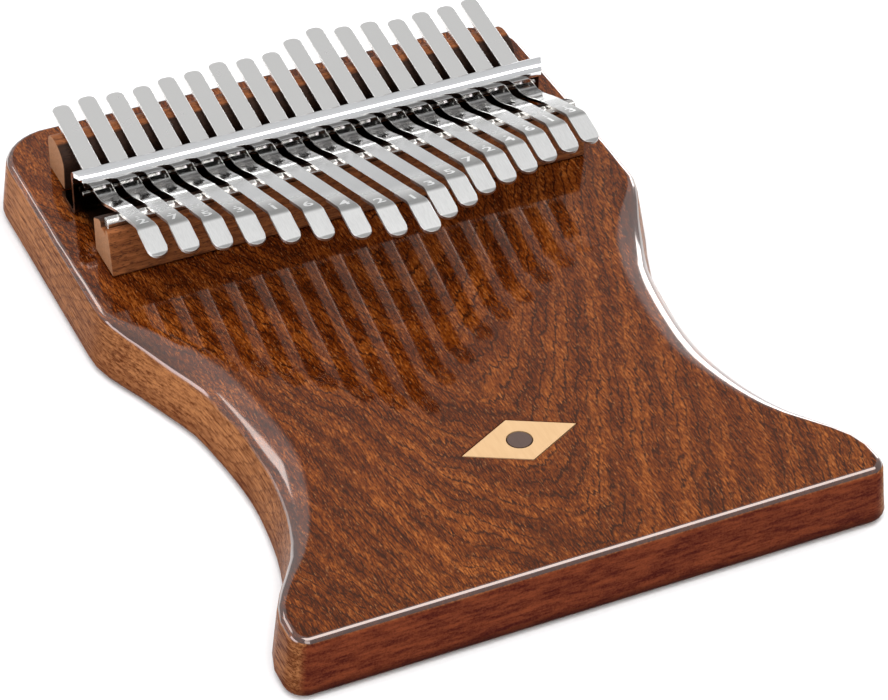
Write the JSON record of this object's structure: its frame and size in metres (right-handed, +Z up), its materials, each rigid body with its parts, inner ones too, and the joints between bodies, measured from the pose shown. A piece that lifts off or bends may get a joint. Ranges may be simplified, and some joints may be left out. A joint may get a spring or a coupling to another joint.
{
  "type": "lamellophone",
  "caption": "Thumb piano on a solid waisted wooden board, its steel tines held by a bracket between two bridges.",
  "frame": {"origin": "centre of the bounding box on the flat underside of the body", "axes": "+Z up out of the tines' face, -Y towards the player, +X to the player's right"},
  "size_m": [0.1452, 0.2044, 0.0453],
  "materials": {
    "body": "gloss lacquer",
    "inlay_field": "gloss lacquer",
    "inlay_dot": "gloss lacquer",
    "bridge_wood": "raw, sanded",
    "saddle": "polished",
    "bracket": "polished",
    "rod": "polished",
    "screws": "zinc plated",
    "tines": "polished, brushed near the tips"
  },
  "bodies": {
    "frame": {"body": "body", "inlay_lozenge": "inlay_field", "inlay_dot": "inlay_dot", "front_bridge": "bridge_wood", "rear_bridge": "bridge_wood", "saddle_bar": "saddle", "pressure_bracket": "bracket", "stop_rod": "rod", "bracket_screw_1": "screws", "bracket_screw_2": "screws", "bracket_screw_3": "screws", "bracket_screw_4": "screws"},
    "tine_01": {"tine_01": "tines"},
    "tine_02": {"tine_02": "tines"},
    "tine_03": {"tine_03": "tines"},
    "tine_04": {"tine_04": "tines"},
    "tine_05": {"tine_05": "tines"},
    "tine_06": {"tine_06": "tines"},
    "tine_07": {"tine_07": "tines"},
    "tine_08": {"tine_08": "tines"},
    "tine_09": {"tine_09": "tines"},
    "tine_10": {"tine_10": "tines"},
    "tine_11": {"tine_11": "tines"},
    "tine_12": {"tine_12": "tines"},
    "tine_13": {"tine_13": "tines"},
    "tine_14": {"tine_14": "tines"},
    "tine_15": {"tine_15": "tines"},
    "tine_16": {"tine_16": "tines"},
    "tine_17": {"tine_17": "tines"}
  },
  "joints": [
    {"name": "tine_01_flex", "type": "hinge", "parent": "frame", "child": "tine_01", "pos_m": [-0.056, 0.0394, 0.0301], "axis": [1, 0, 0], "range_deg": [0, 1.2], "stiffness_Nm_per_rad": 8.58},
    {"name": "tine_02_flex", "type": "hinge", "parent": "frame", "child": "tine_02", "pos_m": [-0.049, 0.0394, 0.0301], "axis": [1, 0, 0], "range_deg": [0, 1.2], "stiffness_Nm_per_rad": 7.77},
    {"name": "tine_03_flex", "type": "hinge", "parent": "frame", "child": "tine_03", "pos_m": [-0.042, 0.0394, 0.0301], "axis": [1, 0, 0], "range_deg": [0, 1.2], "stiffness_Nm_per_rad": 6.83},
    {"name": "tine_04_flex", "type": "hinge", "parent": "frame", "child": "tine_04", "pos_m": [-0.035, 0.0394, 0.0301], "axis": [1, 0, 0], "range_deg": [0, 1.2], "stiffness_Nm_per_rad": 6.21},
    {"name": "tine_05_flex", "type": "hinge", "parent": "frame", "child": "tine_05", "pos_m": [-0.028, 0.0394, 0.0301], "axis": [1, 0, 0], "range_deg": [0, 1.2], "stiffness_Nm_per_rad": 5.47},
    {"name": "tine_06_flex", "type": "hinge", "parent": "frame", "child": "tine_06", "pos_m": [-0.021, 0.0394, 0.0301], "axis": [1, 0, 0], "range_deg": [0, 1.2], "stiffness_Nm_per_rad": 4.98},
    {"name": "tine_07_flex", "type": "hinge", "parent": "frame", "child": "tine_07", "pos_m": [-0.014, 0.0394, 0.0301], "axis": [1, 0, 0], "range_deg": [0, 1.2], "stiffness_Nm_per_rad": 4.39},
    {"name": "tine_08_flex", "type": "hinge", "parent": "frame", "child": "tine_08", "pos_m": [-0.007, 0.0394, 0.0301], "axis": [1, 0, 0], "range_deg": [0, 1.2], "stiffness_Nm_per_rad": 4.01},
    {"name": "tine_09_flex", "type": "hinge", "parent": "frame", "child": "tine_09", "pos_m": [0, 0.0394, 0.0301], "axis": [1, 0, 0], "range_deg": [0, 1.2], "stiffness_Nm_per_rad": 3.77},
    {"name": "tine_10_flex", "type": "hinge", "parent": "frame", "child": "tine_10", "pos_m": [0.007, 0.0394, 0.0301], "axis": [1, 0, 0], "range_deg": [0, 1.2], "stiffness_Nm_per_rad": 4.26},
    {"name": "tine_11_flex", "type": "hinge", "parent": "frame", "child": "tine_11", "pos_m": [0.014, 0.0394, 0.0301], "axis": [1, 0, 0], "range_deg": [0, 1.2], "stiffness_Nm_per_rad": 4.68},
    {"name": "tine_12_flex", "type": "hinge", "parent": "frame", "child": "tine_12", "pos_m": [0.021, 0.0394, 0.0301], "axis": [1, 0, 0], "range_deg": [0, 1.2], "stiffness_Nm_per_rad": 5.3},
    {"name": "tine_13_flex", "type": "hinge", "parent": "frame", "child": "tine_13", "pos_m": [0.028, 0.0394, 0.0301], "axis": [1, 0, 0], "range_deg": [0, 1.2], "stiffness_Nm_per_rad": 5.82},
    {"name": "tine_14_flex", "type": "hinge", "parent": "frame", "child": "tine_14", "pos_m": [0.035, 0.0394, 0.0301], "axis": [1, 0, 0], "range_deg": [0, 1.2], "stiffness_Nm_per_rad": 6.41},
    {"name": "tine_15_flex", "type": "hinge", "parent": "frame", "child": "tine_15", "pos_m": [0.042, 0.0394, 0.0301], "axis": [1, 0, 0], "range_deg": [0, 1.2], "stiffness_Nm_per_rad": 7.29},
    {"name": "tine_16_flex", "type": "hinge", "parent": "frame", "child": "tine_16", "pos_m": [0.049, 0.0394, 0.0301], "axis": [1, 0, 0], "range_deg": [0, 1.2], "stiffness_Nm_per_rad": 8.03},
    {"name": "tine_17_flex", "type": "hinge", "parent": "frame", "child": "tine_17", "pos_m": [0.056, 0.0394, 0.0301], "axis": [1, 0, 0], "range_deg": [0, 1.2], "stiffness_Nm_per_rad": 9.16}
  ]
}
